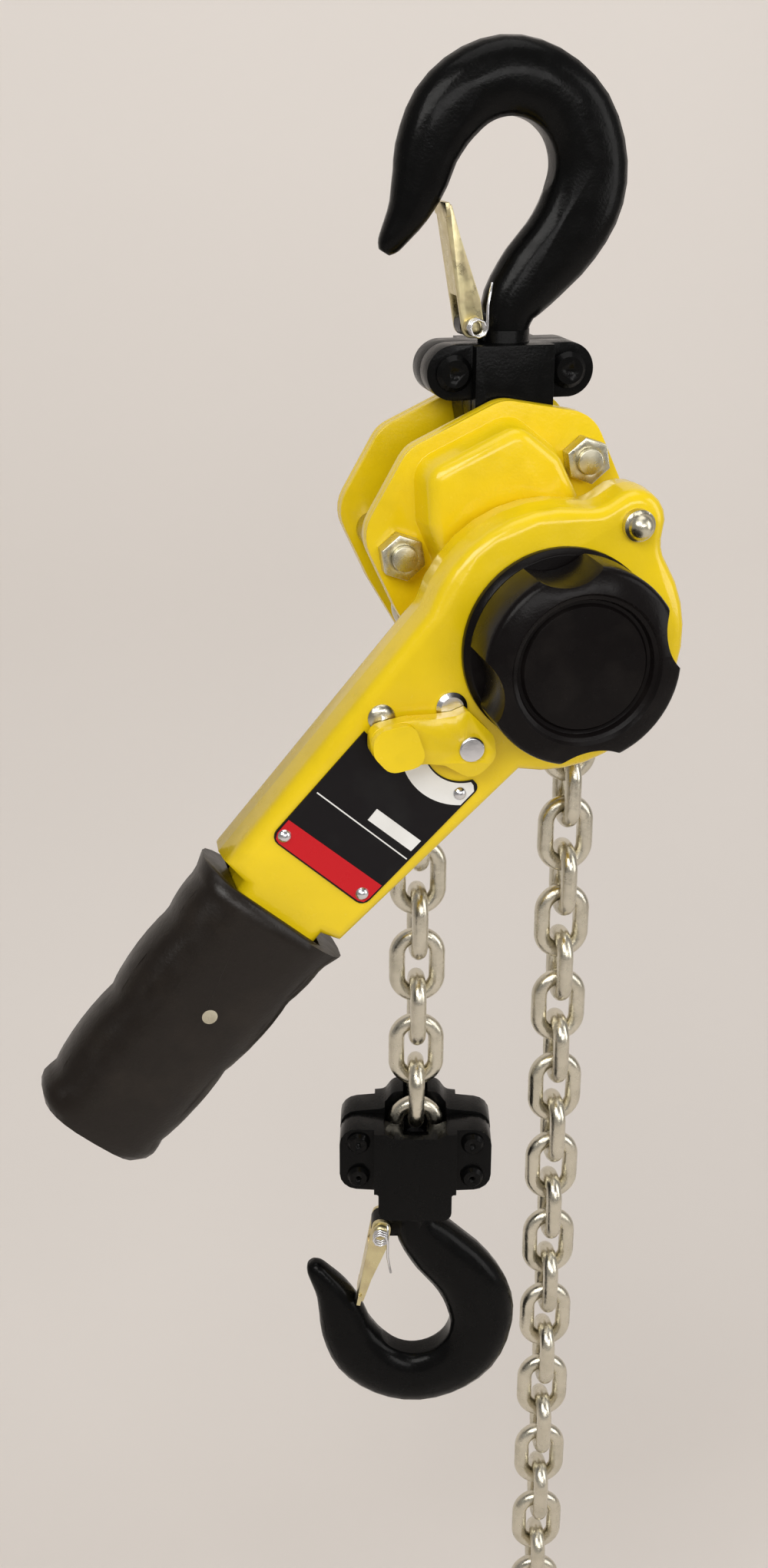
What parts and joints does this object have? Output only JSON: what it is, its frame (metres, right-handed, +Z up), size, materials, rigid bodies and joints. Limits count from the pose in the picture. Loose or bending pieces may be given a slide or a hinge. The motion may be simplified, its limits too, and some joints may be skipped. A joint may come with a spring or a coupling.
{
  "type": "lever chain hoist",
  "caption": "Lever chain hoist (come along) of the 1.5 tonne class, with two swivel hooks and a hand wheel.",
  "frame": {"origin": "centre of the top hook's bowl", "axes": "+Z up along the hanging hoist; the hand wheel faces -Y; +X to the right seen from the hand wheel's side"},
  "size_m": [0.2536, 0.1656, 0.8025],
  "materials": {
    "black_forging": "gloss black enamel",
    "latch_zinc": "yellow chromate zinc",
    "yellow_paint": "gloss yellow powder coat",
    "bare_steel": "machined steel",
    "chain_zinc": "bright zinc",
    "nut_zinc": "yellow zinc",
    "friction": "friction lining",
    "bronze": "sintered bronze",
    "black_plastic": "moulded black",
    "grip_rubber": "moulded rubber",
    "plate_black": "printed aluminium plate"
  },
  "bodies": {
    "top_hook": {"top_hook": "black_forging", "top_latch_pin": "latch_zinc", "top_latch_spring": "bare_steel"},
    "top_latch": {"top_latch": "latch_zinc"},
    "yoke": {"yoke_front": "black_forging", "yoke_rear": "black_forging", "yoke_bolts": "black_forging"},
    "hoist": {"suspension_pin": "bare_steel", "front_side_plate": "yellow_paint", "rear_side_plate": "yellow_paint", "stay_bolts": "nut_zinc", "stay_nuts": "nut_zinc", "sheave_bearings": "bare_steel", "chain_stripper": "bare_steel", "chain_on_sheave": "chain_zinc", "ratchet_disc": "bare_steel", "pawl_pins": "bare_steel", "brake_cover": "yellow_paint", "gear_cover": "yellow_paint", "gear_cover_screws": "bare_steel", "shaft_bush": "bronze"},
    "sheave": {"load_sheave": "bare_steel", "load_gear": "bare_steel"},
    "upper_disc_gear": {"upper_disc_gear": "bare_steel"},
    "lower_disc_gear": {"lower_disc_gear": "bare_steel"},
    "drive": {"drive_shaft": "bare_steel", "brake_hub": "bare_steel", "friction_discs": "friction", "changeover_gear": "bare_steel", "shaft_nut": "bare_steel", "hand_wheel_spring": "bare_steel"},
    "hand_wheel": {"hand_wheel": "black_plastic"},
    "upper_pawl": {"upper_pawl": "bare_steel"},
    "side_pawl": {"side_pawl": "bare_steel"},
    "lever": {"lever_shell_front": "yellow_paint", "lever_shell_rear": "yellow_paint", "lever_bolts": "nut_zinc", "ring_cover": "black_plastic", "detent_plunger": "bare_steel", "lever_grip": "grip_rubber", "grip_pin": "bare_steel", "nameplate": "plate_black", "nameplate_rivets": "bare_steel"},
    "selector": {"selector_lever": "yellow_paint", "selector_shaft": "bare_steel", "selector_pawl": "bare_steel"},
    "load_chain_upper": {"load_chain_upper": "chain_zinc"},
    "load_chain_lower": {"load_chain_lower": "chain_zinc"},
    "load_block": {"load_block_front": "black_forging", "load_block_rear": "black_forging", "block_screws": "black_forging", "chain_pin": "bare_steel"},
    "load_hook": {"load_hook": "black_forging", "load_latch_pin": "latch_zinc", "load_latch_spring": "bare_steel"},
    "load_latch": {"load_latch": "latch_zinc"},
    "slack_chain_upper": {"slack_chain_upper": "chain_zinc"},
    "slack_chain_middle": {"slack_chain_middle": "chain_zinc"},
    "slack_chain_lower": {"slack_chain_lower": "chain_zinc", "chain_end_ring": "chain_zinc"}
  },
  "joints": [
    {"name": "top_latch_swing", "type": "hinge", "parent": "top_hook", "child": "top_latch", "pos_m": [-0.0145, 0, -0.058], "axis": [0, 1, 0], "range_deg": [0, 20]},
    {"name": "top_swivel", "type": "hinge", "parent": "top_hook", "child": "yoke", "pos_m": [0, 0, -0.08], "axis": [0, 0, 1], "continuous": true},
    {"name": "hoist_swing", "type": "hinge", "parent": "yoke", "child": "hoist", "pos_m": [0, 0, -0.106], "axis": [0, 1, 0], "range_deg": [-20, 20]},
    {"name": "drive_turn", "type": "hinge", "parent": "hoist", "child": "drive", "pos_m": [0.002, 0, -0.167], "axis": [0, 1, 0], "continuous": true},
    {"name": "sheave_turn", "type": "hinge", "parent": "hoist", "child": "sheave", "pos_m": [0.002, 0, -0.167], "axis": [0, 1, 0], "continuous": true, "deforming": ["chain_on_sheave"]},
    {"name": "upper_disc_gear_turn", "type": "hinge", "parent": "hoist", "child": "upper_disc_gear", "pos_m": [-0.00677, 0, -0.13831], "axis": [0, 1, 0], "continuous": true},
    {"name": "lower_disc_gear_turn", "type": "hinge", "parent": "hoist", "child": "lower_disc_gear", "pos_m": [0.01077, 0, -0.19569], "axis": [0, 1, 0], "continuous": true},
    {"name": "free_wheel_pull", "type": "slide", "parent": "drive", "child": "hand_wheel", "axis": [0, -1, 0], "range_m": [0, 0.006], "stiffness_N_per_m": 300},
    {"name": "upper_pawl_lift", "type": "hinge", "parent": "hoist", "child": "upper_pawl", "pos_m": [-0.03014, 0, -0.1287], "axis": [0, -1, 0], "range_deg": [0, 7], "stiffness_Nm_per_rad": 0.05, "springref_deg": -11.46},
    {"name": "side_pawl_lift", "type": "hinge", "parent": "hoist", "child": "side_pawl", "pos_m": [0.00636, 0, -0.11719], "axis": [0, -1, 0], "range_deg": [0, 7], "stiffness_Nm_per_rad": 0.05, "springref_deg": -11.46},
    {"name": "lever_turn", "type": "hinge", "parent": "hoist", "child": "lever", "pos_m": [0.002, 0, -0.167], "axis": [0, 1, 0], "continuous": true},
    {"name": "selector_turn", "type": "hinge", "parent": "lever", "child": "selector", "pos_m": [-0.03351, 0, -0.20242], "axis": [0, 1, 0], "range_deg": [-14, 14]},
    {"name": "load_chain_swing", "type": "hinge", "parent": "hoist", "child": "load_chain_upper", "pos_m": [-0.03206, 0, -0.21227], "axis": [0.0407, 0.9992, 0], "range_deg": [-1.5, 25]},
    {"name": "load_chain_tilt", "type": "hinge", "parent": "load_chain_upper", "child": "load_chain_lower", "pos_m": [-0.03206, 0, -0.31727], "axis": [0.9899, -0.1421, 0], "range_deg": [-25, 25]},
    {"name": "load_block_swing", "type": "hinge", "parent": "load_chain_lower", "child": "load_block", "pos_m": [-0.03206, 0, -0.42142], "axis": [0.2419, 0.9703, 0], "range_deg": [-3, 3]},
    {"name": "load_swivel", "type": "hinge", "parent": "load_block", "child": "load_hook", "pos_m": [-0.03206, 0, -0.44193], "axis": [0, 0, 1], "continuous": true},
    {"name": "load_latch_swing", "type": "hinge", "parent": "load_hook", "child": "load_latch", "pos_m": [-0.0471, 0.00375, -0.46492], "axis": [-0.2419, -0.9703, 0], "range_deg": [0, 20]},
    {"name": "slack_chain_swing", "type": "hinge", "parent": "hoist", "child": "slack_chain_upper", "pos_m": [0.03386, 0, -0.19826], "axis": [0.0129, 0.9999, 0], "range_deg": [-20, 1.5]},
    {"name": "slack_chain_tilt", "type": "hinge", "parent": "slack_chain_upper", "child": "slack_chain_middle", "pos_m": [0.03386, 0, -0.34526], "axis": [0.9983, -0.0581, 0], "range_deg": [-25, 25]},
    {"name": "slack_chain_end_swing", "type": "hinge", "parent": "slack_chain_middle", "child": "slack_chain_lower", "pos_m": [0.03386, 0, -0.53426], "axis": [0.1161, 0.9932, 0], "range_deg": [-30, 30]}
  ],
  "couplings": [
    {"joint": "sheave_turn", "follows": "drive_turn", "ratio": 0.11111},
    {"joint": "upper_disc_gear_turn", "follows": "drive_turn", "ratio": -0.33333},
    {"joint": "lower_disc_gear_turn", "follows": "drive_turn", "ratio": -0.33333}
  ]
}
